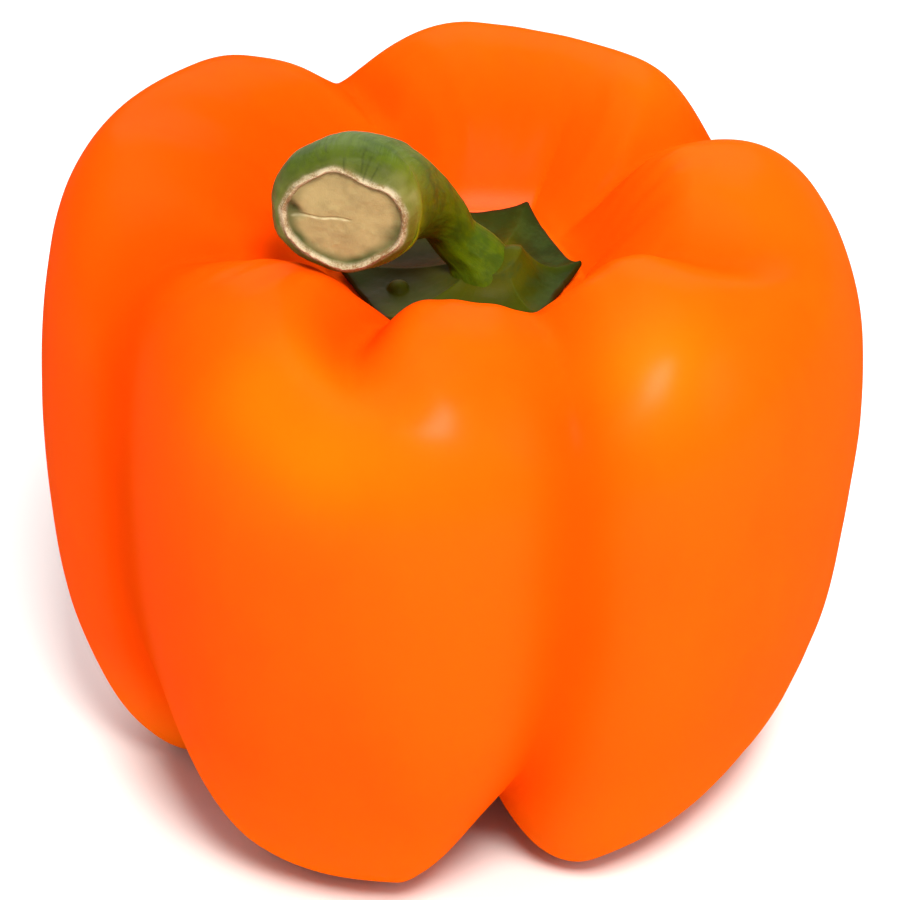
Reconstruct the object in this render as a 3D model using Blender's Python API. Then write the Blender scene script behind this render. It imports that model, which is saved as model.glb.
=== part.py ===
"""Bell pepper standing on its feet: the fruit, its calyx and its cut stem.

Lengths are in metres and +Z is up. The front of the pepper looks along -Y and its right side is +X.
An azimuth is 0 degrees at the front and grows towards the right side. The origin lies on the surface
that the pepper stands on, under the middle of the fruit's box.

Each piece starts as a UV sphere whose rings are laid along the piece's own profile, so it is one
closed body with a pole at each end.
"""
import math
from dataclasses import dataclass

import bmesh
import bpy
from mathutils import Vector

COLLECTION = "bell_pepper"
MM = 0.001
GAP = 0.3 * MM

# ---------------------------------------------------------------- fruit

FRUIT_COLUMNS = 80
# Rings of the fruit's mesh on its cavity floor, cavity wall, shoulder, flank and underside.
FRUIT_RINGS = (2, 9, 10, 13, 7)
LOBE_SPREAD = 24.0

CAVITY_CENTRE = Vector((1.5 * MM, 0.0))
CAVITY_FLOOR = 59.5 * MM
CAVITY_MARGIN = 0.9 * MM
WALL_POWER = 1.9
DIMPLE_HEIGHT = 9.0 * MM
DIMPLE_POWER = 1.5
SHOULDER_POWERS = (0.85, 0.80)
FLANK_HEIGHT_POWER = 0.97
FOOT_LIFT_POWER = 1.6
GIRTH_BLUNTNESS = 0.15


@dataclass(frozen=True)
class Lobe:
    """A swelling of the flesh: where its rim, girth and foot lie, in millimetres and degrees."""
    azimuth: float
    rim_radius: float
    rim_height: float
    girth_radius: float
    girth_height: float
    foot_radius: float
    foot_height: float
    flank_power: float


@dataclass(frozen=True)
class Fold:
    """A groove between two lobes, which wanders in azimuth from the rim to the foot.

    Its drop and pull at the rim fade below it over the fold's reach, where 1 is the girth.
    """
    rim_azimuth: float
    girth_azimuth: float
    foot_azimuth: float
    width: float
    foot_width: float
    rim_drop: float
    rim_pull: float
    girth_depth: float
    foot_lift: float
    foot_pull: float
    bluntness: float
    reach: float


LOBES = (
    Lobe(-48, 25.0, 71.0, 42.0, 44, 21.5, -0.5, 0.88),
    Lobe(4, 22.5, 69.2, 42.0, 44, 19.5, -0.5, 0.92),
    Lobe(46, 24.2, 71.7, 42.8, 49, 26.0, 1.6, 1.30),
    Lobe(108, 23.4, 71.0, 42.3, 49, 30.0, -1.8, 1.50),
    Lobe(145, 30.5, 70.4, 41.5, 46, 24.0, -1.0, 1.00),
    Lobe(178, 27.5, 72.7, 41.5, 44, 20.0, 0.5, 0.90),
    Lobe(-140, 32.0, 72.6, 42.8, 43, 22.0, -0.5, 0.88),
    Lobe(-95, 33.5, 73.8, 42.8, 42, 26.5, 0.0, 0.88),
)

FOLDS = (
    Fold(-73, -60, -66, 33, 23, 6.0, 1, 3.2, 8.0, 3, 0.10, 1.6),
    Fold(-24, 6, 6, 15, 15, 5.0, 2, 0.0, 0.0, 0, 0.20, 0.5),
    Fold(21, 17, 8, 26, 21, 3.2, 2, 2.6, 9.5, 4, 0.10, 9.0),
    Fold(68, 88, 96, 28, 24, 4.4, 0, 0.3, 1.0, 0, 0.30, 0.7),
    Fold(124, 130, 130, 22, 26, 5.0, 2, 2.5, 8.0, 4, 0.10, 9.0),
    Fold(203, 203, 203, 27, 26, 6.0, 2, 3.0, 9.0, 4, 0.10, 9.0),
    Fold(-110, -118, -118, 18, 18, 1.2, 0, 0.2, 0.0, 0, 0.20, 0.3),
)

# ---------------------------------------------------------------- calyx

CALYX_COLUMNS = 60
# Rings of the calyx's mesh on the stem's seat, the upper side, the edge and the underside.
CALYX_RINGS = (2, 6, 2, 3)
CALYX_CORNERS = tuple(
    Vector((x * MM, y * MM))
    for x, y in ((7.6, 11.0), (12.4, -0.9), (8.2, -10.6), (-6.6, -11.6), (-11.5, -0.5), (-6.5, 10.4))
)
CALYX_EDGE = 0.9 * MM
CALYX_RISE = 0.7 * MM
CALYX_RISE_POWER = 1.3
TOOTH_REACH = 0.4 * MM
TOOTH_CURL = 0.9 * MM
TOOTH_CURL_POWER = 6
TOOTH_SPREAD = 7.0
SEAT_RADIUS = 4.3 * MM
NUB_PLACE = Vector((-5.3 * MM, -6.4 * MM))
NUB_RADIUS = 1.1 * MM
NUB_HEIGHT = 0.8 * MM

# ---------------------------------------------------------------- stem

STEM_COLUMNS = 36
# Rings of the stem's mesh on its base, its side and its cut face.
STEM_RINGS = (2, 24, 3)
# The stem's axis, and its radius at fractions of the way along it.
STEM_AXIS = tuple(
    Vector((x * MM, y * MM, z * MM))
    for x, y, z in ((3.9, -3.3, 61.8), (2.2, -3.3, 63.7), (0.2, -3.5, 65.7), (-1.2, -4.2, 68.4),
                    (-3.4, -6.0, 71.1), (-6.6, -9.3, 73.9), (-9.9, -14.1, 76.3), (-10.6, -18.1, 76.75))
)
STEM_RADII = (
    (0.00, 4.0), (0.06, 3.8), (0.12, 3.2), (0.18, 2.8), (0.29, 2.5), (0.40, 2.7), (0.50, 3.1),
    (0.62, 4.4), (0.74, 6.4), (0.83, 7.5), (0.90, 7.9), (0.96, 7.4), (1.00, 6.1),
)
STEM_RIBS = 6
RIB_DEPTH = 0.02
CUT_FLATTENING = 0.90
# Fractions of the way along the stem: where its rings have turned from level to its axis, where its
# ribs have grown to their full depth, and where it begins and ends to flatten towards the cut.
LEVEL_END = 0.25
RIBS_FULL = 0.2
FLATTENING_START = 0.6
FLATTENING_END = 0.9


def wrap(degrees):
    """Bring an angle into the half-open range from -180 to 180 degrees."""
    return (degrees + 180.0) % 360.0 - 180.0


def ease(x):
    """Rise smoothly from 0 to 1 as x does, flat at both ends."""
    x = min(1.0, max(0.0, x))
    return x * x * (3.0 - 2.0 * x)


def lobe_value(azimuth, name):
    """Blend one of the lobes' dimensions at an azimuth, nearest lobes first."""
    total = 0.0
    weights = 0.0
    for lobe in LOBES:
        weight = math.exp(-(wrap(azimuth - lobe.azimuth) / LOBE_SPREAD) ** 2) + 1e-9
        total += weight * getattr(lobe, name)
        weights += weight
    return total / weights


def fold_value(azimuth, level, name, power=2.0, blunter=0.0, at_foot=False, fading=False):
    """Add up one of the folds' dimensions at an azimuth; level runs 0 rim, 1 girth, 2 foot."""
    total = 0.0
    for fold in FOLDS:
        centre = fold.rim_azimuth
        centre += (fold.girth_azimuth - fold.rim_azimuth) * ease(level)
        centre += (fold.foot_azimuth - fold.girth_azimuth) * ease(level - 1.0)
        width = fold.foot_width if at_foot else fold.width
        bluntness = fold.bluntness + blunter
        away = min(1.0, math.hypot(wrap(azimuth - centre) / width, bluntness))
        share = 1.0 - ease(level / fold.reach) if fading else 1.0
        total += share * getattr(fold, name) * ((1.0 - away) / (1.0 - bluntness)) ** power
    return total


def outline_radius(azimuth, centre):
    """Distance from a centre to the calyx's straight-sided outline."""
    ray = Vector((math.sin(math.radians(azimuth)), -math.cos(math.radians(azimuth))))
    for index, corner in enumerate(CALYX_CORNERS):
        start = corner - centre
        side = CALYX_CORNERS[(index + 1) % len(CALYX_CORNERS)] - corner
        facing = ray.x * side.y - ray.y * side.x
        if abs(facing) < 1e-12:
            continue
        reach = (start.x * side.y - start.y * side.x) / facing
        along = (start.x * ray.y - start.y * ray.x) / facing
        if reach > 0.0 and -1e-6 <= along <= 1.0 + 1e-6:
            return reach
    raise ValueError("the outline's centre lies outside it")


def fruit_point(azimuth, stage):
    """Point of the skin; stage runs 0 floor, 1 wall, 2 shoulder, 3 flank, 4 underside, 5 end."""
    level = min(2.0, max(0.0, stage - 2.0))
    rim_radius = (lobe_value(azimuth, "rim_radius")
                  - fold_value(azimuth, level, "rim_pull", fading=True)) * MM
    rim_height = (lobe_value(azimuth, "rim_height")
                  - fold_value(azimuth, level, "rim_drop", fading=True)) * MM
    girth_dent = fold_value(azimuth, level, "girth_depth", blunter=GIRTH_BLUNTNESS)
    girth_radius = (lobe_value(azimuth, "girth_radius") - girth_dent) * MM
    girth_height = lobe_value(azimuth, "girth_height") * MM
    foot_radius = (lobe_value(azimuth, "foot_radius")
                   - fold_value(azimuth, level, "foot_pull", at_foot=True)) * MM
    foot_height = (lobe_value(azimuth, "foot_height")
                   + fold_value(azimuth, level, "foot_lift", FOOT_LIFT_POWER, at_foot=True)) * MM
    floor_radius = outline_radius(azimuth, CAVITY_CENTRE) + CAVITY_MARGIN

    part = stage - math.floor(stage)
    turn = part * math.pi / 2.0
    if stage < 1.0:
        radius = floor_radius * part
        height = CAVITY_FLOOR
    elif stage < 2.0:
        radius = floor_radius + (rim_radius - floor_radius) * part
        height = CAVITY_FLOOR + (rim_height - CAVITY_FLOOR) * (1.0 - (1.0 - part) ** WALL_POWER)
    elif stage < 3.0:
        radius = rim_radius + (girth_radius - rim_radius) * math.sin(turn) ** SHOULDER_POWERS[0]
        height = girth_height + (rim_height - girth_height) * math.cos(turn) ** SHOULDER_POWERS[1]
    elif stage < 4.0:
        fullness = math.cos(turn) ** lobe_value(azimuth, "flank_power")
        radius = foot_radius + (girth_radius - foot_radius) * fullness
        sink = math.sin(turn) ** FLANK_HEIGHT_POWER
        height = foot_height + (girth_height - foot_height) * (1.0 - sink)
    else:
        left = max(0.0, 5.0 - stage)
        radius = foot_radius * left
        sweep = math.sin(left * math.pi / 2.0) ** DIMPLE_POWER
        height = DIMPLE_HEIGHT + (foot_height - DIMPLE_HEIGHT) * sweep

    centre = CAVITY_CENTRE * (1.0 - ease(stage - 1.5))
    angle = math.radians(azimuth)
    return Vector((
        centre.x + radius * math.sin(angle),
        centre.y - radius * math.cos(angle),
        max(0.0, height),
    ))


def calyx_point(azimuth, stage):
    """Point of the calyx; stage runs 0 seat, 1 upper side, 2 edge, 3 underside, 4 end."""
    centre = STEM_AXIS[0].to_2d()
    outline = outline_radius(azimuth, centre)
    angle = math.radians(azimuth)
    ray = Vector((math.sin(angle), -math.cos(angle)))
    tooth = 0.0
    for corner in CALYX_CORNERS:
        aside = wrap(azimuth - math.degrees(math.atan2(corner.x - centre.x, centre.y - corner.y)))
        tooth = max(tooth, math.exp(-abs(aside) / TOOTH_SPREAD))
    bottom = CAVITY_FLOOR + GAP
    part = stage - math.floor(stage)
    if stage < 1.0:
        radius = SEAT_RADIUS * part
        spread = 0.0
    elif stage < 2.0:
        spread = part
        radius = SEAT_RADIUS + (outline - SEAT_RADIUS) * part
    else:
        spread = max(0.0, 4.0 - stage) if stage >= 3.0 else 1.0
        radius = outline * spread
    curl = tooth * spread ** TOOTH_CURL_POWER
    radius += TOOTH_REACH * curl
    top = bottom + CALYX_EDGE + CALYX_RISE * (1.0 - spread) ** CALYX_RISE_POWER
    place = centre + ray * radius
    if stage < 2.0:
        away = (place - NUB_PLACE).length / NUB_RADIUS
        top += NUB_HEIGHT * math.sqrt(max(0.0, 1.0 - away * away))
        height = top
    elif stage < 3.0:
        height = top + (bottom - top) * part
    else:
        height = bottom
    height += TOOTH_CURL * curl
    return Vector((place.x, place.y, height))


def axis_point(fraction):
    """Point on the stem's axis, on a smooth curve through its stations."""
    spans = len(STEM_AXIS) - 1
    along = min(max(fraction, 0.0), 1.0) * spans
    index = min(int(along), spans - 1)
    part = along - index
    before = STEM_AXIS[max(0, index - 1)]
    start = STEM_AXIS[index]
    end = STEM_AXIS[index + 1]
    after = STEM_AXIS[min(spans, index + 2)]
    return 0.5 * (
        2.0 * start
        + (end - before) * part
        + (2.0 * before - 5.0 * start + 4.0 * end - after) * part ** 2
        + (3.0 * start - before - 3.0 * end + after) * part ** 3
    )


def stem_radius(fraction):
    """Radius of the stem at a fraction of its length, on straight lines between its stations."""
    for (low, narrow), (high, wide) in zip(STEM_RADII, STEM_RADII[1:]):
        if fraction <= high:
            part = (fraction - low) / (high - low)
            return (narrow + (wide - narrow) * part) * MM
    return STEM_RADII[-1][1] * MM


def stem_point(azimuth, stage):
    """Point of the stem; stage runs 0 base, 1 side, 2 cut face, 3 end."""
    if stage < 1.0:
        fraction = 0.0
        spread = stage
    elif stage < 2.0:
        fraction = stage - 1.0
        spread = 1.0
    else:
        fraction = 1.0
        spread = max(0.0, 3.0 - stage)
    step = 0.01
    tangent = axis_point(fraction + step) - axis_point(fraction - step)
    if fraction < step:
        tangent = axis_point(2.0 * step) - axis_point(0.0)
    tangent.normalize()
    # The base is cut level, to sit on the calyx, and the rings turn to the axis above it.
    tangent = tangent.lerp(Vector((0.0, 0.0, 1.0)), 1.0 - ease(fraction / LEVEL_END)).normalized()
    side = Vector((1.0, 0.0, 0.0))
    side = (side - tangent * side.dot(tangent)).normalized()
    front = side.cross(tangent)
    angle = math.radians(azimuth)
    radius = stem_radius(fraction) * spread
    radius *= 1.0 + RIB_DEPTH * math.cos(STEM_RIBS * angle) * ease(fraction / RIBS_FULL)
    flattened = ease((fraction - FLATTENING_START) / (FLATTENING_END - FLATTENING_START))
    flat = 1.0 - (1.0 - CUT_FLATTENING) * flattened
    return axis_point(fraction) + side * radius * math.sin(angle) + front * radius * flat * math.cos(angle)


def lay_rings(name, columns, rings, point):
    """Make a UV sphere and lay its rings at the stages of a piece's profile."""
    mesh = bmesh.new()
    ring_count = sum(rings)
    bmesh.ops.create_uvsphere(mesh, u_segments=columns, v_segments=ring_count, radius=1.0)
    starts = [sum(rings[:index]) for index in range(len(rings) + 1)]
    for vertex in mesh.verts:
        polar = math.acos(min(1.0, max(-1.0, vertex.co.z)))
        ring = round(polar / math.pi * ring_count)
        azimuth = 0.0
        if 0 < ring < ring_count:
            azimuth = math.degrees(math.atan2(vertex.co.x, -vertex.co.y))
        part = max(index for index in range(len(rings)) if starts[index] <= min(ring, ring_count - 1))
        stage = part + (ring - starts[part]) / rings[part]
        vertex.co = point(azimuth, stage)
    bmesh.ops.triangulate(mesh, faces=mesh.faces[:])
    bmesh.ops.recalc_face_normals(mesh, faces=mesh.faces[:])
    data = bpy.data.meshes.new(name)
    mesh.to_mesh(data)
    mesh.free()
    data.shade_smooth()
    return data


def principled(name, colour, roughness, metallic=0.0):
    """Make a Principled material from a linear colour, a roughness and a metallic value."""
    material = bpy.data.materials.new(name)
    material.use_nodes = True
    shader = material.node_tree.nodes["Principled BSDF"]
    shader.inputs["Base Color"].default_value = (*colour, 1.0)
    shader.inputs["Roughness"].default_value = roughness
    shader.inputs["Metallic"].default_value = metallic
    return material


def add_piece(collection, data, material, shift):
    """Put a piece's mesh in the scene as an object of the same name, moved over the origin."""
    data.materials.append(material)
    piece = bpy.data.objects.new(data.name, data)
    piece.location = shift
    collection.objects.link(piece)
    return piece


def main():
    """Clear the scene and model the pepper."""
    for old in list(bpy.data.objects):
        bpy.data.objects.remove(old, do_unlink=True)
    collection = bpy.data.collections.new(COLLECTION)
    bpy.context.scene.collection.children.link(collection)

    fruit = lay_rings("fruit", FRUIT_COLUMNS, FRUIT_RINGS, fruit_point)
    calyx = lay_rings("calyx", CALYX_COLUMNS, CALYX_RINGS, calyx_point)
    stem = lay_rings("stem", STEM_COLUMNS, STEM_RINGS, stem_point)

    # The middle of the fruit's box goes over the origin.
    across = [vertex.co.x for vertex in fruit.vertices]
    along = [vertex.co.y for vertex in fruit.vertices]
    shift = Vector((-(min(across) + max(across)) / 2.0, -(min(along) + max(along)) / 2.0, 0.0))

    add_piece(collection, fruit, principled("orange_skin", (0.95, 0.17, 0.003), 0.3), shift)
    add_piece(collection, calyx, principled("green_calyx", (0.06, 0.11, 0.02), 0.5), shift)
    add_piece(collection, stem, principled("green_stem", (0.16, 0.22, 0.04), 0.5), shift)


main()
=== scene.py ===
"""Looks of an orange bell pepper: its waxy skin, its leafy calyx and its ribbed, cut stem.

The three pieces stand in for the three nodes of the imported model. Each one starts as a UV sphere
whose rings are laid along the piece's own profile, finely enough to carry the small shapes of the
real thing: the ripples inside the top hollow, the creases between the feet, the teeth of the calyx,
the ribs of the stem and the torn, woody ring around its pith.

Shapes are worked out in millimetres and turned to metres when a mesh is written. An azimuth is
0 degrees at the front (-Y) and grows towards the right (+X).
"""
import logging
import math
from dataclasses import dataclass
from enum import Enum
from typing import Any

import bmesh
import bpy
import numpy as np
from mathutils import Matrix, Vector


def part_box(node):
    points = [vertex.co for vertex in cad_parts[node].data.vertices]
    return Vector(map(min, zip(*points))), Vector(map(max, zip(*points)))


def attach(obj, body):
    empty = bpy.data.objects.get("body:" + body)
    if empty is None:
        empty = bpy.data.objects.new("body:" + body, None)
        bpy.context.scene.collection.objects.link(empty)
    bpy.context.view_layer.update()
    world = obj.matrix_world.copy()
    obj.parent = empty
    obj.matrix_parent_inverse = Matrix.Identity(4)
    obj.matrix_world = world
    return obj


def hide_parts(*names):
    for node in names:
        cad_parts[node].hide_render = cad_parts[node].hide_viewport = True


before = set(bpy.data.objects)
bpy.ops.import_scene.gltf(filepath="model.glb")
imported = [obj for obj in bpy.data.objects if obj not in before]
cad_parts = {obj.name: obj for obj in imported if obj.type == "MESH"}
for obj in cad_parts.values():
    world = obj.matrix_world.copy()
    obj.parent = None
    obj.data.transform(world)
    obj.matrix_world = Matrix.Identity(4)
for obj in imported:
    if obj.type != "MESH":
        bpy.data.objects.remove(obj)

LOG = logging.getLogger("bell_pepper")
MM = 0.001
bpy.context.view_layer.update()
# The origin lies under the middle of the fruit's box, which is this far from the pieces' own axis.
ORIGIN_SHIFT = np.array([0.359, 0.147, 0.0])


class Layer(Enum):
    """The per-point values that a mesh carries for its material."""

    # Painted shade in the folds and the hollow, and the blossom scar's own colour.
    CREASE = "crease"
    GRAIN = "grain"
    ALONG = "along"
    # Ripeness of the calyx and the stem, and painted highlights on the fruit's front lobes.
    RIPENESS_AND_HIGHLIGHT = "ripe"
    CUT = "cut"
    PITH = "pith"
    STAIN = "stain"
    # Painted highlights at the sides of the stem's cut, and rubbed skin along its upper edge.
    HIGHLIGHT_AND_SCUFF = "highlight_and_scuff"
    CRACK = "crack"
    RIM = "rim"
    VEIN = "vein"


# ------------------------------------------------------------------ small helpers


def linear(hex_colour: str) -> tuple[float, float, float, float]:
    """Turn an sRGB hex colour into the linear values that a shader takes.

    Args:
        hex_colour: a colour such as "#fe7001".

    Returns:
        Linear red, green and blue, with an alpha of 1.
    """
    values = [int(hex_colour[i:i + 2], 16) / 255.0 for i in (1, 3, 5)]
    red, green, blue = (v / 12.92 if v <= 0.04045 else ((v + 0.055) / 1.055) ** 2.4 for v in values)
    return red, green, blue, 1.0


def fill(tree: bpy.types.NodeTree, node: bpy.types.Node, inputs: dict[str | int, Any]) -> None:
    """Link or set a node's inputs.

    Args:
        tree: the node tree that holds the node.
        node: the node.
        inputs: inputs, by name or number, and the output socket or the value that each one takes.
    """
    for key, value in inputs.items():
        if isinstance(value, bpy.types.NodeSocket):
            tree.links.new(value, node.inputs[key])
        else:
            node.inputs[key].default_value = value


def add_node(tree: bpy.types.NodeTree, kind: str, settings: dict[str, Any] | None = None,
             links: dict[str | int, Any] | None = None) -> bpy.types.Node:
    """Add a node with its settings, and fill or link its inputs.

    Args:
        tree: the node tree that takes the node.
        kind: the node's type, such as "ShaderNodeMix".
        settings: attributes of the node and their values.
        links: inputs, by name or number, and the output socket or the value that each one takes.

    Returns:
        The new node.
    """
    made = tree.nodes.new(kind)
    for name, value in (settings or {}).items():
        setattr(made, name, value)
    fill(tree, made, links or {})
    return made


def wrap(degrees: np.ndarray) -> np.ndarray:
    """Bring angles into the range from -180 to 180 degrees."""
    return (degrees + 180.0) % 360.0 - 180.0


def ease(x: np.ndarray) -> np.ndarray:
    """Rise smoothly from 0 to 1 as x does, flat at both ends."""
    x = np.clip(x, 0.0, 1.0)
    return x * x * (3.0 - 2.0 * x)


def bell(x: np.ndarray) -> np.ndarray:
    """A smooth hump of height 1 around zero, one unit wide on each side."""
    return np.exp(-x * x)


def lattice_value(cell: np.ndarray) -> np.ndarray:
    """Give each cell of space a fixed value that looks random.

    Args:
        cell: whole-numbered places, one per row.

    Returns:
        One value from -1 to 1 per place.
    """
    mixed = (cell[:, 0] * 73856093) ^ (cell[:, 1] * 19349663) ^ (cell[:, 2] * 83492791)
    mixed = (mixed ^ (mixed >> 13)) * 1274126177 & 0x7FFFFFFF
    return ((mixed ^ (mixed >> 16)) & 0xFFFF) / 32767.5 - 1.0


def rough(points: np.ndarray, grain: float, seed: float = 0.0) -> np.ndarray:
    """Smooth noise in space, from about -1 to 1.

    Args:
        points: places, one per row.
        grain: the size of the noise's lumps, in the places' unit.
        seed: a shift that gives another pattern.

    Returns:
        One value per place.
    """
    scaled = points / grain + np.array([seed, seed * 1.7, seed * 0.6]) + 512.0
    cell = np.floor(scaled).astype(np.int64)
    part = ease(scaled - cell)
    total = np.zeros(len(points))
    for corner in np.ndindex(2, 2, 2):
        share = np.prod(np.where(corner, part, 1.0 - part), axis=1)
        total += share * lattice_value(cell + np.array(corner))
    return total


@dataclass(frozen=True)
class Patch:
    """A soft-edged patch of skin: its azimuth in degrees, its place along the profile, and its strength."""

    azimuth: float
    azimuth_width: float
    along: float
    along_width: float
    strength: float

    def share(self, azimuth: np.ndarray, along: np.ndarray) -> np.ndarray:
        """How strongly the patch shows at each place, from 0 to its strength."""
        across = bell(wrap(azimuth - self.azimuth) / self.azimuth_width)
        return self.strength * across * bell((along - self.along) / self.along_width)


@dataclass(frozen=True)
class RingPlan:
    """How many columns and rings a piece's mesh has, the rings counted per stage of its profile."""

    columns: int
    rings: tuple[int, ...]

    def sphere(self) -> tuple[bpy.types.Mesh, np.ndarray, np.ndarray]:
        """Make a sphere of rings and columns and find where each point belongs on a profile.

        A grid is rolled into the sphere and welded along its seam and at its poles.

        Returns:
            The mesh, and each point's azimuth in degrees and stage along the profile.
        """
        total = sum(self.rings)
        body = bmesh.new()
        bmesh.ops.create_grid(body, x_segments=self.columns, y_segments=total, size=1.0)
        for vertex in body.verts:
            turn, polar = vertex.co.x * math.pi, (1.0 - vertex.co.y) / 2.0 * math.pi
            vertex.co = (math.sin(polar) * math.sin(turn), -math.sin(polar) * math.cos(turn), math.cos(polar))
        bmesh.ops.remove_doubles(body, verts=body.verts[:], dist=1e-5)
        mesh = bpy.data.meshes.new("sphere")
        body.to_mesh(mesh)
        body.free()
        flat = np.empty(len(mesh.vertices) * 3)
        mesh.vertices.foreach_get("co", flat)
        place = flat.reshape(-1, 3)
        ring = np.rint(np.arccos(np.clip(place[:, 2], -1.0, 1.0)) / math.pi * total)
        azimuth = np.degrees(np.arctan2(place[:, 0], -place[:, 1]))
        azimuth = np.where((ring > 0) & (ring < total), azimuth, 0.0)
        edges = np.concatenate([[0], np.cumsum(self.rings)]).astype(float)
        stage = np.interp(ring, edges, np.arange(len(self.rings) + 1, dtype=float))
        return mesh, azimuth, stage


def point_normals(mesh: bpy.types.Mesh, places: np.ndarray) -> np.ndarray:
    """Set a mesh's points and find the way that each one faces.

    Args:
        mesh: the mesh, whose points are set.
        places: new places, one per row.

    Returns:
        Unit normals, one per row.
    """
    mesh.vertices.foreach_set("co", places.ravel())
    mesh.update()
    flat = np.empty(len(mesh.vertices) * 3)
    mesh.vertex_normals.foreach_get("vector", flat)
    return flat.reshape(-1, 3)


def finish_mesh(mesh: bpy.types.Mesh, name: str, places: np.ndarray,
                layers: dict[Layer, np.ndarray]) -> bpy.types.Object:
    """Write a piece's final points and layers, turn it outwards and make its object.

    Args:
        mesh: the mesh to finish.
        name: the piece's name.
        places: the final points, in millimetres.
        layers: the values that the piece's material reads.

    Returns:
        The piece, with its object at the origin.
    """
    mesh.name = name
    mesh.vertices.foreach_set("co", (places * MM).ravel())
    mesh.update()
    body = bmesh.new()
    body.from_mesh(mesh)
    bmesh.ops.recalc_face_normals(body, faces=body.faces[:])
    body.to_mesh(mesh)
    body.free()
    for layer, values in layers.items():
        kind = "FLOAT_VECTOR" if values.ndim == 2 else "FLOAT"
        stored = mesh.attributes.new(layer.value, kind, "POINT")
        stored.data.foreach_set("vector" if values.ndim == 2 else "value", values.ravel())
    mesh.shade_smooth()
    piece = bpy.data.objects.new(name, mesh)
    bpy.context.scene.collection.objects.link(piece)
    return piece


# ------------------------------------------------------------------ finishes

SMOOTH = {"interpolation_type": "SMOOTHSTEP"}
COLOURS = {"data_type": "RGBA"}


def start_material(name: str) -> tuple[bpy.types.Material, bpy.types.NodeTree, bpy.types.NodeSocket]:
    """Start a material that reads places on its piece.

    Args:
        name: the material's name.

    Returns:
        The material, its node tree, and the socket that gives places on the piece, in metres.
    """
    made = bpy.data.materials.new(name)
    made.use_nodes = True
    place = add_node(made.node_tree, "ShaderNodeTexCoord").outputs["Object"]
    return made, made.node_tree, place


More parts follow.
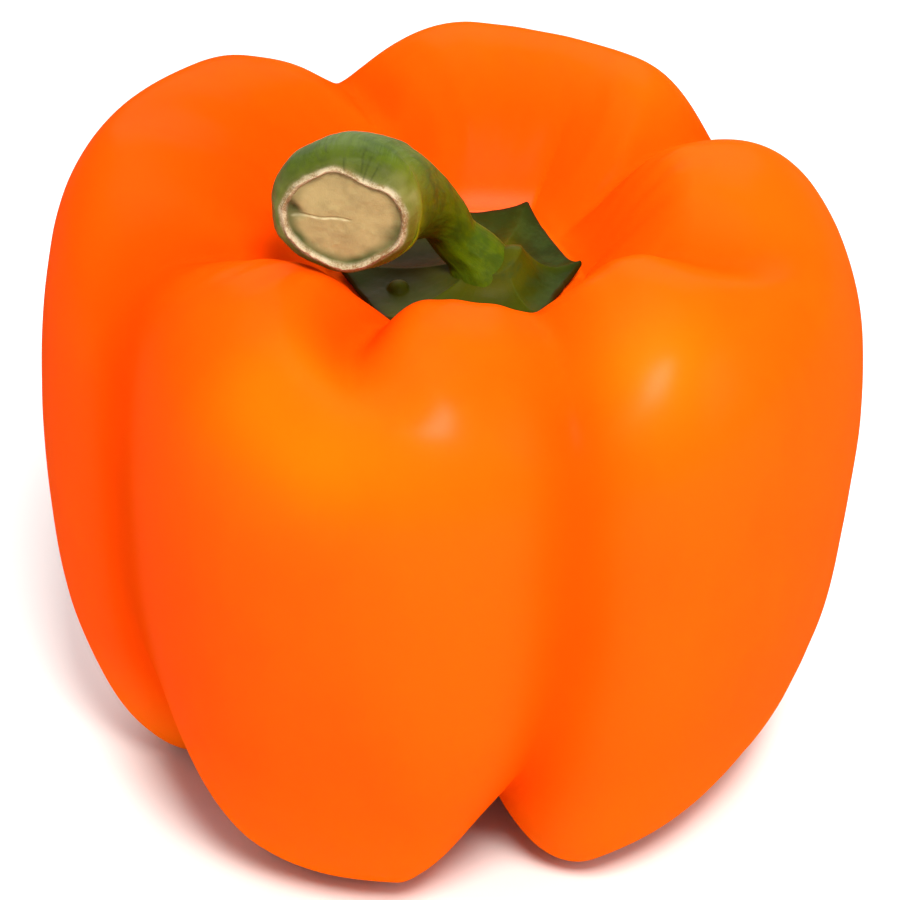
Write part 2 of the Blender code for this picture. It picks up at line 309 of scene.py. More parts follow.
@dataclass(frozen=True)
class SkinFinish:
    """Ripe pepper skin: a thin waxy cuticle, grown, over flesh that light sinks into.

    It gives saturated orange, with painted shade that turns it redder in the folds, painted highlights
    on the front lobes' crests and a painted reflection of the floor low down, and soft highlights on the
    lobes, where the wax is polished. All sizes are in millimetres.
    """

    ripe: str = "#ef4802"
    golden: str = "#f35303"
    # Painted highlight colour on the crests of the front lobes.
    highlight_honey: str = "#fb7204"
    # Painted reflection of the pale floor on the feet and the underside.
    floor_reflection_amber: str = "#e66604"
    # Painted shade: the deep red painted into the folds, the creases and the hollow's wall. The blossom scar
    # has the same deep red as its own colour.
    crease: str = "#d02c01"
    cool_side: float = -34.0
    warm_side: float = 6.0
    # The painted floor reflection fades out at this height above the feet.
    floor_reflection_height: float = 24.0
    blush_size: float = 26.0
    streak_width: float = 2.6
    streak_length: float = 22.0
    pore_size: float = 0.7
    pore_depth: float = 0.04
    roughness: float = 0.31
    polish: float = 0.018
    fold_polish: float = 0.0015
    sink: float = 2.2

    def material(self) -> bpy.types.Material:
        """Build the skin's material.

        Returns:
            The material.
        """
        made, tree, place = start_material("waxy_pepper_skin")
        # Painted light read from the mesh: painted shade of the folds, the creases and the hollow's wall,
        # with the blossom scar, and painted highlights on the front lobes' crests.
        crease, ripe = (
            add_node(tree, "ShaderNodeAttribute", {"attribute_name": layer.value}).outputs["Fac"]
            for layer in (Layer.CREASE, Layer.RIPENESS_AND_HIGHLIGHT)
        )
        # Faint streaks run from the stem to the feet, where fibres lie under the skin.
        drawn = add_node(tree, "ShaderNodeMapping", links={
            "Vector": place,
            "Scale": (1.0, 1.0, self.streak_width / self.streak_length),
        }).outputs[0]
        blush, streak, pores = (
            add_node(tree, "ShaderNodeTexNoise", links={
                "Vector": vector, "Scale": 1.0 / (size * MM), "Detail": detail, "Roughness": fineness,
            }).outputs["Fac"]
            for vector, size, detail, fineness in (
                (place, self.blush_size, 3.0, 0.55),
                (drawn, self.streak_width, 2.0, 0.5),
                (place, self.pore_size, 2.0, 0.5),
            )
        )
        # Warmth rises from the left side of the pepper to the right, with broad uneven blushes.
        axes = add_node(tree, "ShaderNodeSeparateXYZ", links={0: place}).outputs
        side = add_node(tree, "ShaderNodeMapRange", SMOOTH, {
            "Value": axes["X"], "From Min": self.cool_side * MM, "From Max": self.warm_side * MM,
        }).outputs[0]
        uneven = add_node(tree, "ShaderNodeMapRange", links={
            "Value": blush, "From Min": 0.35, "From Max": 0.65, "To Min": -0.3, "To Max": 0.3,
        }).outputs[0]
        fibre = add_node(tree, "ShaderNodeMapRange", links={
            "Value": streak, "From Min": 0.3, "From Max": 0.7, "To Min": -0.07, "To Max": 0.07,
        }).outputs[0]
        mottled = add_node(tree, "ShaderNodeMath", {"operation": "ADD"}, {0: uneven, 1: fibre}).outputs[0]
        gold = add_node(tree, "ShaderNodeMath", {"operation": "ADD", "use_clamp": True},
                        {0: side, 1: mottled}).outputs[0]
        low = add_node(tree, "ShaderNodeMapRange", SMOOTH, {
            "Value": axes["Z"], "From Min": self.floor_reflection_height * MM, "From Max": 0.0, "To Max": 0.8,
        }).outputs[0]
        # Painted highlights: the crests of the front lobes are painted a golden orange. Painted reflection:
        # the feet and the underside, which the pale floor lights from below, are painted a duller, more
        # yellow orange. Painted shade: the folds, the creases and the hollow's wall are painted deep red,
        # which is also the blossom scar's own colour.
        colour = linear(self.ripe)
        covers = ((gold, self.golden), (ripe, self.highlight_honey), (low, self.floor_reflection_amber), (crease, self.crease))
        for share, over in covers:
            colour = add_node(tree, "ShaderNodeMix", COLOURS,
                              {0: share, 6: colour, 7: linear(over)}).outputs[2]

        # The wax is polished on the lobes and thin in the folds and the hollow.
        polish = add_node(tree, "ShaderNodeMapRange", SMOOTH, {
            "Value": crease, "From Max": 0.36, "To Min": self.polish, "To Max": self.fold_polish,
        }).outputs[0]
        # The skin is a little duller in patches, and has pores and shallow dimples.
        worn = add_node(tree, "ShaderNodeMapRange", links={
            "Value": blush, "From Min": 0.3, "From Max": 0.7,
            "To Min": self.roughness - 0.05, "To Max": self.roughness + 0.07,
        }).outputs[0]
        relief = add_node(tree, "ShaderNodeMath", {"operation": "MULTIPLY_ADD"},
                          {0: streak, 1: 2.5, 2: pores}).outputs[0]
        bump = add_node(tree, "ShaderNodeBump", links={
            "Height": relief, "Strength": 0.16, "Distance": self.pore_depth * MM,
        }).outputs[0]
        fill(tree, tree.nodes["Principled BSDF"], {
            "Base Color": colour, "Roughness": worn, "Normal": bump, "IOR": 1.4,
            "Specular IOR Level": 0.0, "Coat Weight": polish, "Coat Roughness": 0.27, "Coat IOR": 2.0,
            "Subsurface Weight": 0.15, "Subsurface Radius": (1.0, 0.22, 0.05),
            "Subsurface Scale": self.sink * MM,
        })
        return made


@dataclass(frozen=True)
class LeafFinish:
    """Calyx: tough green leaf tissue, grown flat against the fruit and slightly dried at its rim.

    It gives a dull dark green, patchy with a grey-blue bloom, with paler veins and a brown edge. The
    same dark brown is painted under the stalk's bend as painted shadow. All sizes are in millimetres.
    """

    deep: str = "#1c2601"
    olive: str = "#3e4003"
    bloom: str = "#2c3a16"
    vein: str = "#464f08"
    # The dried rim's brown, also used for the painted shadow under the stalk's bend.
    rim: str = "#2a1c05"
    patch_size: float = 4.0
    cell_size: float = 0.35
    cell_depth: float = 0.08
    roughness: float = 0.5
    sink: float = 0.5

    def material(self) -> bpy.types.Material:
        """Build the calyx's material.

        Returns:
            The material.
        """
        made, tree, place = start_material("leafy_calyx")
        ripe, vein, rim = (
            add_node(tree, "ShaderNodeAttribute", {"attribute_name": layer.value}).outputs["Fac"]
            for layer in (Layer.RIPENESS_AND_HIGHLIGHT, Layer.VEIN, Layer.RIM)
        )
        patch, cells = (
            add_node(tree, "ShaderNodeTexNoise", links={
                "Vector": place, "Scale": 1.0 / (size * MM), "Detail": detail, "Roughness": fineness,
            }).outputs["Fac"]
            for size, detail, fineness in ((self.patch_size, 4.0, 0.65), (self.cell_size, 3.0, 0.5))
        )
        dusty = add_node(tree, "ShaderNodeMapRange", SMOOTH,
                         {"Value": patch, "From Min": 0.46, "From Max": 0.62}).outputs[0]
        dust = add_node(tree, "ShaderNodeMath", {"operation": "MULTIPLY"}, {0: dusty, 1: cells}).outputs[0]
        colour = linear(self.deep)
        for share, over in ((ripe, self.olive), (dust, self.bloom), (vein, self.vein), (rim, self.rim)):
            colour = add_node(tree, "ShaderNodeMix", COLOURS,
                              {0: share, 6: colour, 7: linear(over)}).outputs[2]
        dull = add_node(tree, "ShaderNodeMapRange", links={
            "Value": patch, "From Min": 0.3, "From Max": 0.7,
            "To Min": self.roughness - 0.08, "To Max": self.roughness + 0.12,
        }).outputs[0]
        bump = add_node(tree, "ShaderNodeBump", links={
            "Height": cells, "Strength": 0.35, "Distance": self.cell_depth * MM,
        }).outputs[0]
        fill(tree, tree.nodes["Principled BSDF"], {
            "Base Color": colour, "Roughness": dull, "Normal": bump, "IOR": 1.4, "Specular IOR Level": 0.04,
            "Subsurface Weight": 0.08, "Subsurface Radius": (0.5, 1.0, 0.15),
            "Subsurface Scale": self.sink * MM,
        })
        return made


@dataclass(frozen=True)
class StemFinish:
    """Stem: ribbed green stalk, grown, then cut across with a knife and left to dry.

    Its skin gives olive green with paler lengthwise streaks, an ochre side, and rubbed and scratched
    spots near the cut, with painted highlights on both sides of the cut. The cut shows a pale, torn
    woody ring around a cream pith that is greener at its border. All sizes are in millimetres.
    """

    olive: str = "#465802"
    green: str = "#2c3f08"
    pale: str = "#465229"
    ochre: str = "#787408"
    bark: str = "#3a3c1c"
    # Pale colour of the painted highlights at the cut's sides and of the rubbed skin along its upper edge.
    highlight_and_scuff: str = "#86804c"
    wood: str = "#b0a184"
    wood_dark: str = "#7e6644"
    pith: str = "#9a885c"
    pith_dark: str = "#877750"
    border: str = "#4c4e2a"
    crack: str = "#c8ba98"
    stain: str = "#2e3414"
    streak_width: float = 0.34
    mottle_size: float = 2.2
    fibre_size: float = 0.18
    fibre_depth: float = 0.12
    roughness: float = 0.46
    sink: float = 0.6

    def material(self) -> bpy.types.Material:
        """Build the stem's material.

        Returns:
            The material.
        """
        made, tree, place = start_material("cut_pepper_stalk")
        grain = add_node(tree, "ShaderNodeAttribute", {"attribute_name": Layer.GRAIN.value}).outputs["Vector"]
        ripe, along, highlight_and_scuff, cut, inner, border, crack, stain = (
            add_node(tree, "ShaderNodeAttribute", {"attribute_name": layer.value}).outputs["Fac"]
            for layer in (Layer.RIPENESS_AND_HIGHLIGHT, Layer.ALONG, Layer.HIGHLIGHT_AND_SCUFF, Layer.CUT, Layer.PITH, Layer.RIM,
                          Layer.CRACK, Layer.STAIN)
        )
        # The grain layer is in millimetres around the stalk, and shortened along it, so noise on it
        # is drawn out into streaks that follow the stalk's bend.
        streak, mottle, fleck = (
            add_node(tree, "ShaderNodeTexNoise", links={
                "Vector": vector, "Scale": 1.0 / size, "Detail": detail, "Roughness": fineness,
            }).outputs["Fac"]
            for vector, size, detail, fineness in (
                (grain, self.streak_width, 3.0, 0.6),
                (place, self.mottle_size * MM, 4.0, 0.6),
                (place, self.fibre_size * MM, 3.0, 0.7),
            )
        )
        patch, light, swollen, dry = (
            add_node(tree, "ShaderNodeMapRange", SMOOTH, {
                "Value": value, "From Min": start, "From Max": end, "To Min": least, "To Max": most,
            }).outputs[0]
            for value, start, end, least, most in (
                (mottle, 0.40, 0.66, 0.0, 0.7),
                (streak, 0.48, 0.72, 0.0, 0.5),
                (along, 0.45, 0.80, 0.12, 1.0),
                (along, 0.86, 1.0, 0.0, 0.55),
            )
        )
        faded = add_node(tree, "ShaderNodeMath", {"operation": "MULTIPLY"}, {0: light, 1: swollen}).outputs[0]

        # The cut end's torn ring is pale where it splinters, and its pith is cloudy.
        torn = add_node(tree, "ShaderNodeMath", {"operation": "MULTIPLY_ADD"},
                        {0: mottle, 1: 1.6, 2: fleck}).outputs[0]
        splinter = add_node(tree, "ShaderNodeMapRange", links={
            "Value": torn, "From Min": 1.10, "From Max": 1.42,
        }).outputs[0]
        cloudy = add_node(tree, "ShaderNodeMapRange", links={
            "Value": mottle, "From Min": 0.25, "From Max": 0.60,
        }).outputs[0]
        parts = []
        for ground, covers in (
            (self.olive, ((patch, self.green), (faded, self.pale), (ripe, self.ochre), (dry, self.bark),
                          (highlight_and_scuff, self.highlight_and_scuff))),
            (self.wood_dark, ((splinter, self.wood),)),
            (self.pith_dark, ((cloudy, self.pith), (border, self.border), (crack, self.crack))),
        ):
            colour = linear(ground)
            for share, over in covers:
                colour = add_node(tree, "ShaderNodeMix", COLOURS,
                                  {0: share, 6: colour, 7: linear(over)}).outputs[2]
            parts.append(colour)
        skin, wood, pith = parts
        face = add_node(tree, "ShaderNodeMix", COLOURS, {0: inner, 6: wood, 7: pith}).outputs[2]
        whole = add_node(tree, "ShaderNodeMix", COLOURS, {0: cut, 6: skin, 7: face}).outputs[2]
        stained = add_node(tree, "ShaderNodeMix", COLOURS,
                           {0: stain, 6: whole, 7: linear(self.stain)}).outputs[2]

        wear = add_node(tree, "ShaderNodeMapRange", links={
            "Value": streak, "From Min": 0.3, "From Max": 0.7,
            "To Min": self.roughness - 0.06, "To Max": self.roughness + 0.12,
        }).outputs[0]
        skin_relief = add_node(tree, "ShaderNodeMath", {"operation": "ADD"},
                               {0: streak, 1: mottle}).outputs[0]
        relief = add_node(tree, "ShaderNodeMix", {"data_type": "FLOAT"},
                          {0: cut, 2: skin_relief, 3: fleck}).outputs[0]
        bump = add_node(tree, "ShaderNodeBump", links={
            "Height": relief, "Strength": 0.5, "Distance": self.fibre_depth * MM,
        }).outputs[0]
        fill(tree, tree.nodes["Principled BSDF"], {
            "Base Color": stained, "Roughness": wear, "Normal": bump, "IOR": 1.42, "Specular IOR Level": 0.08,
            "Subsurface Weight": 0.12, "Subsurface Radius": (0.8, 0.8, 0.3),
            "Subsurface Scale": self.sink * MM,
        })
        return made


@dataclass(frozen=True)
class FloorFinish:
    """Seamless backdrop paper: matt, rolled, and the same pale white all over but for its faint tooth."""

    colour: str = "#e4e4e3"
    tooth_size: float = 1.5
    tooth_depth: float = 0.02
    roughness: float = 0.9

    def material(self) -> bpy.types.Material:
        """Build the floor's material.

        Returns:
            The material.
        """
        made, tree, place = start_material("backdrop_paper")
        tooth = add_node(tree, "ShaderNodeTexNoise", links={
            "Vector": place, "Scale": 1.0 / (self.tooth_size * MM),
        }).outputs["Fac"]
        bump = add_node(tree, "ShaderNodeBump", links={
            "Height": tooth, "Strength": 0.1, "Distance": self.tooth_depth * MM,
        }).outputs[0]
        fill(tree, tree.nodes["Principled BSDF"], {
            "Base Color": linear(self.colour), "Roughness": self.roughness, "Normal": bump,
        })
        return made


# ------------------------------------------------------------------ fruit


@dataclass(frozen=True)
class Lobe:
    """A swelling of the flesh: where its rim, girth and foot lie, in millimetres and degrees."""

    azimuth: float
    rim_radius: float
    rim_height: float
    girth_radius: float
    girth_height: float
    foot_radius: float
    foot_height: float
    flank_power: float


@dataclass(frozen=True)
class Fold:
    """A groove between two lobes, which wanders in azimuth from the rim to the foot."""

    rim_azimuth: float
    girth_azimuth: float
    foot_azimuth: float
    width: float
    foot_width: float
    rim_drop: float
    rim_pull: float
    girth_depth: float
    foot_lift: float
    foot_pull: float
    bluntness: float
    reach: float


# Straight-sided outline of the calyx, seen from above.
CALYX_CORNERS = ((7.6, 11.0), (12.4, -0.9), (8.2, -10.6), (-6.6, -11.6), (-11.5, -0.5), (-6.5, 10.4))


def outline_radius(azimuth: np.ndarray, centre: tuple[float, float]) -> np.ndarray:
    """Distance from a centre to the calyx's straight-sided outline.

    Args:
        azimuth: directions from the centre, in degrees.
        centre: a place inside the outline, in millimetres.

    Returns:
        One distance per direction, in millimetres.
    """
    angle = np.radians(azimuth)
    ray_x, ray_y = np.sin(angle), -np.cos(angle)
    reach = np.full(azimuth.shape, np.inf)
    for index, (x, y) in enumerate(CALYX_CORNERS):
        next_x, next_y = CALYX_CORNERS[(index + 1) % len(CALYX_CORNERS)]
        start_x, start_y = x - centre[0], y - centre[1]
        side_x, side_y = next_x - x, next_y - y
        facing = ray_x * side_y - ray_y * side_x
        facing = np.where(np.abs(facing) < 1e-9, 1e-9, facing)
        out = (start_x * side_y - start_y * side_x) / facing
        along = (start_x * ray_y - start_y * ray_x) / facing
        hit = (out > 0.0) & (along >= -1e-6) & (along <= 1.0 + 1e-6)
        reach = np.where(hit, np.minimum(reach, out), reach)
    return reach


@dataclass
class Fruit:
    """The fleshy body: stem hollow, parted lobes, rounded feet and a dimple below."""

    plan: RingPlan = RingPlan(432, (3, 46, 58, 76, 34))
    lobe_spread: float = 24.0
    hollow_centre: tuple[float, float] = (1.5, 0.0)
    hollow_floor: float = 59.5
    hollow_margin: float = 0.9
    wall_power: float = 1.9
    dimple_height: float = 9.0
    dimple_power: float = 1.5
    shoulder_powers: tuple[float, float] = (0.85, 0.80)
    flank_height_power: float = 0.97
    foot_lift_power: float = 1.6
    girth_bluntness: float = 0.15
    foot_rounding: float = 0.9
    lobes: tuple[Lobe, ...] = (
        Lobe(-48, 25.0, 71.0, 42.0, 44, 21.5, -0.5, 0.88),
        Lobe(4, 22.5, 69.2, 42.0, 44, 19.5, -0.5, 0.92),
        Lobe(46, 24.2, 71.7, 42.8, 49, 26.0, 1.6, 1.30),
        Lobe(108, 23.4, 71.0, 42.3, 49, 30.0, -1.8, 1.50),
        Lobe(145, 30.5, 70.4, 41.5, 46, 24.0, -1.0, 1.00),
        Lobe(178, 27.5, 72.7, 41.5, 44, 20.0, 0.5, 0.90),
        Lobe(-140, 32.0, 72.6, 42.8, 43, 22.0, -0.5, 0.88),
        Lobe(-95, 33.5, 73.8, 42.8, 42, 26.5, 0.0, 0.88),
    )
    folds: tuple[Fold, ...] = (
        Fold(-73, -60, -66, 33, 23, 6.0, 1, 3.2, 8.0, 3, 0.10, 1.6),
        Fold(-24, 6, 6, 15, 15, 5.0, 2, 0.0, 0.0, 0, 0.20, 0.5),
        Fold(21, 17, 8, 26, 21, 3.2, 2, 2.6, 9.5, 4, 0.10, 9.0),
        Fold(68, 88, 96, 28, 24, 4.4, 0, 0.3, 1.0, 0, 0.30, 0.7),
        Fold(124, 130, 130, 22, 26, 5.0, 2, 2.5, 8.0, 4, 0.10, 9.0),
        Fold(203, 203, 203, 27, 26, 6.0, 2, 3.0, 9.0, 4, 0.10, 9.0),
        Fold(-110, -118, -118, 18, 18, 1.2, 0, 0.2, 0.0, 0, 0.20, 0.3),
    )
    # Relief of the skin: broad dents, small unevenness, ripples in the hollow and crease lines. It
    # fades out over this height above the feet.
    relief_fade: float = 4.0
    dent_size: float = 11.0
    dent_depth: float = 0.45
    uneven_size: float = 4.0
    uneven_depth: float = 0.08
    ripple_count: int = 34
    ripple_depth: float = 0.22
    ripple_wander: float = 4.4
    crease_width: float = 1.1
    crease_depth: float = 0.55
    scar_height: float = 0.8
    # Only a fold that lifts the foot this far has a sharp crease.
    creased_lift: float = 5.0
    # A fold's painted shade is full where it drops the rim or lifts the foot this far.
    valley_shade_width: float = 4.5
    full_drop: float = 6.0
    full_lift: float = 9.0
    # Painted shade: how red the creases, the folds' valleys and the hollow's wall are, from 0 to 1.
    crease_shade: float = 0.75
    valley_shade: float = 0.45
    wall_shade: float = 0.85
    # Painted highlights: golden patches on the crests of the two front lobes.
    highlight_crests: tuple[Patch, ...] = (
        Patch(-22.0, 17.0, 2.5, 0.27, 0.7),
        Patch(32.0, 11.0, 2.38, 0.22, 0.49),
    )
    finish: SkinFinish = SkinFinish()

    def lobe_value(self, azimuth: np.ndarray, name: str) -> np.ndarray:
        """Blend one of the lobes' dimensions, nearest lobes first.

        Args:
            azimuth: directions, in degrees.
            name: the dimension's name.

        Returns:
            One value per direction.
        """
        total = np.zeros_like(azimuth)
        weights = np.zeros_like(azimuth)
        for lobe in self.lobes:
            weight = np.exp(-(wrap(azimuth - lobe.azimuth) / self.lobe_spread) ** 2) + 1e-9
            total += weight * getattr(lobe, name)
            weights += weight
        return total / weights

    def fold_azimuth(self, fold: Fold, level: np.ndarray) -> np.ndarray:
        """Direction of a fold's bottom.

        Args:
            fold: the fold.
            level: 0 at the rim, 1 at the girth, 2 at the foot.

        Returns:
            Azimuths in degrees, one per level.
        """
        down = (fold.girth_azimuth - fold.rim_azimuth) * ease(level)
        under = (fold.foot_azimuth - fold.girth_azimuth) * ease(level - 1.0)
        return fold.rim_azimuth + down + under

    def fold_value(self, azimuth: np.ndarray, level: np.ndarray, name: str, power: float = 2.0,
                   blunter: float = 0.0, at_foot: bool = False, fading: bool = False) -> np.ndarray:
        """Add up one of the folds' dimensions.

        Args:
            azimuth: directions, in degrees.
            level: 0 at the rim, 1 at the girth, 2 at the foot.
            name: the dimension's name.
            power: how fast a fold fades to its sides.
            blunter: extra rounding of a fold's bottom.
            at_foot: whether the folds' widths at the foot hold.
            fading: whether the folds fade below the rim, over each one's reach.

        Returns:
            One value per direction.
        """
        total = np.zeros_like(azimuth)
        for fold in self.folds:
            width = fold.foot_width if at_foot else fold.width
            blunt = fold.bluntness + blunter
            away = np.hypot(wrap(azimuth - self.fold_azimuth(fold, level)) / width, blunt)
            away = np.minimum(1.0, away)
            share = 1.0 - ease(level / fold.reach) if fading else 1.0
            total += share * getattr(fold, name) * ((1.0 - away) / (1.0 - blunt)) ** power
        return total

    def skin(self, azimuth: np.ndarray, stage: np.ndarray) -> np.ndarray:
        """Places on the smooth skin.

        Args:
            azimuth: directions, in degrees.
            stage: 0 floor of the hollow, 1 wall, 2 shoulder, 3 flank, 4 underside, 5 end.

        Returns:
            Places in millimetres, one per row.
        """
        level = np.clip(stage - 2.0, 0.0, 2.0)
        rim_pull = self.fold_value(azimuth, level, "rim_pull", fading=True)
        rim_drop = self.fold_value(azimuth, level, "rim_drop", fading=True)
        rim_r = self.lobe_value(azimuth, "rim_radius") - rim_pull
        rim_z = self.lobe_value(azimuth, "rim_height") - rim_drop
        dent = self.fold_value(azimuth, level, "girth_depth", blunter=self.girth_bluntness)
        girth_r = self.lobe_value(azimuth, "girth_radius") - dent
        girth_z = self.lobe_value(azimuth, "girth_height")
        pull = self.fold_value(azimuth, level, "foot_pull", at_foot=True)
        foot_r = self.lobe_value(azimuth, "foot_radius") - pull
        lift = self.fold_value(azimuth, level, "foot_lift", self.foot_lift_power, at_foot=True)
        foot_z = self.lobe_value(azimuth, "foot_height") + lift
        floor_r = outline_radius(azimuth, self.hollow_centre) + self.hollow_margin

        part = [np.clip(stage - start, 0.0, 1.0) for start in range(5)]
        turn = [p * math.pi / 2.0 for p in part]
        wall_r = floor_r + (rim_r - floor_r) * part[1]
        wall_z = self.hollow_floor + (rim_z - self.hollow_floor) * (1.0 - (1.0 - part[1]) ** self.wall_power)
        across, up = self.shoulder_powers
        shoulder_r = rim_r + (girth_r - rim_r) * np.sin(turn[2]) ** across
        shoulder_z = girth_z + (rim_z - girth_z) * np.cos(turn[2]) ** up
        fullness = np.abs(np.cos(turn[3])) ** self.lobe_value(azimuth, "flank_power")
        flank_r = foot_r + (girth_r - foot_r) * fullness
        flank_z = foot_z + (girth_z - foot_z) * (1.0 - np.sin(turn[3]) ** self.flank_height_power)
        left = 1.0 - part[4]
        under = np.sin(left * math.pi / 2.0) ** self.dimple_power
        under_z = self.dimple_height + (foot_z - self.dimple_height) * under

        which = [stage < 1.0, stage < 2.0, stage < 3.0, stage < 4.0]
        floor_z = np.full_like(stage, self.hollow_floor)
        radius = np.select(which, [floor_r * part[0], wall_r, shoulder_r, flank_r], foot_r * left)
        height = np.select(which, [floor_z, wall_z, shoulder_z, flank_z], under_z)
        shift = 1.0 - ease(stage - 1.5)
        angle = np.radians(azimuth)
        return np.column_stack([
            self.hollow_centre[0] * shift + radius * np.sin(angle),
            self.hollow_centre[1] * shift - radius * np.cos(angle),
            0.5 * (height + np.hypot(height, self.foot_rounding)),
        ])

    def crease(self, azimuth: np.ndarray, stage: np.ndarray, places: np.ndarray) -> np.ndarray:
        """How close each place lies to the sharp line at the bottom of a deep fold.

        Args:
            azimuth: directions, in degrees.
            stage: stages along the profile.
            places: places on the smooth skin, in millimetres.

        Returns:
            One value from 0 to 1 per place.
        """
        level = np.clip(stage - 2.0, 0.0, 2.0)
        radius = np.hypot(places[:, 0], places[:, 1])
        close = np.zeros_like(azimuth)
        for fold in self.folds:
            if fold.foot_lift < self.creased_lift:
                continue
            away = np.radians(np.abs(wrap(azimuth - self.fold_azimuth(fold, level)))) * radius
            run = ease((stage - 3.1) / 0.6) + ease((2.4 - stage) / 0.6) * ease((stage - 1.15) / 0.3) * 0.6
            close = np.maximum(close, bell(away / self.crease_width) * np.minimum(run, 1.0))
        return close

    def fold_and_wall_shade(self, azimuth: np.ndarray, stage: np.ndarray, places: np.ndarray) -> np.ndarray:
        """How much painted shade each place gets, near a fold's broad groove and on the hollow's wall.

        Args:
            azimuth: directions, in degrees.
            stage: stages along the profile.
            places: places on the smooth skin, in millimetres.

        Returns:
            One value from 0 to 1 per place.
        """
        level = np.clip(stage - 2.0, 0.0, 2.0)
        radius = np.hypot(places[:, 0], places[:, 1])
        close = np.zeros_like(azimuth)
        for fold in self.folds:
            away = np.radians(np.abs(wrap(azimuth - self.fold_azimuth(fold, level)))) * radius
            upper = fold.rim_drop / self.full_drop * (1.0 - ease(level / fold.reach))
            depth = upper + fold.foot_lift / self.full_lift * ease(level)
            close = np.maximum(close, bell(away / self.valley_shade_width) * np.minimum(depth, 1.0))
        # The hollow's wall gets painted shade as well.
        wall = ease((2.15 - stage) / 0.8) * ease((stage - 1.0) / 0.15)
        return np.maximum(close * ease((stage - 1.3) / 0.5), self.wall_shade * wall)

    def painted_highlight(self, azimuth: np.ndarray, stage: np.ndarray, places: np.ndarray) -> np.ndarray:
        """How strongly a golden highlight is painted on the crests of the two front lobes, from 0 to 1."""
        crests = sum(crest.share(azimuth, stage) for crest in self.highlight_crests)
        return np.clip(crests * (0.75 + 0.35 * rough(places, 7.0, 41.0)), 0.0, 0.7)

    def relief(self, azimuth: np.ndarray, stage: np.ndarray, places: np.ndarray) -> np.ndarray:
        """How far the skin lies in from its smooth shape.

        Args:
            azimuth: directions, in degrees.
            stage: stages along the profile.
            places: places on the smooth skin, in millimetres.

        Returns:
            Depths in millimetres, never below zero.
        """
        dents = self.dent_depth * (0.5 + 0.5 * np.clip(1.4 * rough(places, self.dent_size, 3.1), -1, 1))
        uneven = self.uneven_depth * (0.5 + 0.5 * rough(places, self.uneven_size, 8.4))
        inside = ease((stage - 1.1) / 0.4) * ease((2.35 - stage) / 0.5)
        wander = self.ripple_wander * rough(places, 14.0, 5.2)
        ripple = 0.5 + 0.5 * np.cos(np.radians(azimuth) * self.ripple_count + wander)
        ripple *= 0.55 + 0.45 * rough(places, 9.0, 1.3)
        line = self.crease(azimuth, stage, places)
        depth = dents + uneven + self.ripple_depth * inside * ripple + self.crease_depth * line
        # The flat spots of the feet and the floor under the calyx stay as they are.
        return depth * np.clip(places[:, 2] / self.relief_fade, 0.0, 1.0) * ease((stage - 1.0) / 0.2)

    def scar(self, stage: np.ndarray) -> np.ndarray:
        """How close each place lies to the blossom scar in the dimple below, from 0 to 1."""
        return ease((stage - 4.86) / 0.1)

    def build(self) -> bpy.types.Object:
        """Make the fruit's mesh.

        Returns:
            The fruit, fitted into its CAD node's box.
        """
        mesh, azimuth, stage = self.plan.sphere()
        smooth_skin = self.skin(azimuth, stage)
        normals = point_normals(mesh, smooth_skin)
        outward = np.sign((normals * (smooth_skin - smooth_skin.mean(axis=0))).sum(axis=1).mean())
        depth = self.relief(azimuth, stage, smooth_skin)
        places = smooth_skin - normals * outward * depth[:, None]
        # The blossom scar is a small button that stands down from the middle of the dimple.
        places[:, 2] -= self.scar_height * self.scar(stage)
        places[:, 2] -= places[:, 2].min()
        places += ORIGIN_SHIFT
        low, high = (np.array(corner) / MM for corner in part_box("fruit"))
        fit = np.minimum(1.0, np.minimum(low / places.min(axis=0), high / places.max(axis=0))[:2])
        places[:, :2] *= fit
        # Painted shade: the creases, the folds' valleys and the hollow's wall are painted redder. The same
        # layer carries the blossom scar's own colour.
        crease = self.crease_shade * self.crease(azimuth, stage, smooth_skin)
        fold_and_wall_shade = self.valley_shade * self.fold_and_wall_shade(azimuth, stage, smooth_skin)
        piece = finish_mesh(mesh, "pepper_fruit", places, {
            Layer.CREASE: np.maximum(np.maximum(crease, fold_and_wall_shade), self.scar(stage)),
            # Painted highlights on the crests of the front lobes.
            Layer.RIPENESS_AND_HIGHLIGHT: self.painted_highlight(azimuth, stage, smooth_skin),
        })
        LOG.info("%s: %d faces, %s of its full width", piece.name, len(mesh.polygons), fit.round(4))
        return piece

    def dress(self, piece: bpy.types.Object) -> None:
        """Give the fruit its skin, its body and its place in the frame.

        Args:
            piece: the fruit.
        """
        piece.data.materials.append(self.finish.material())
        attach(piece, "root")
        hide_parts("fruit")


# ------------------------------------------------------------------ stem


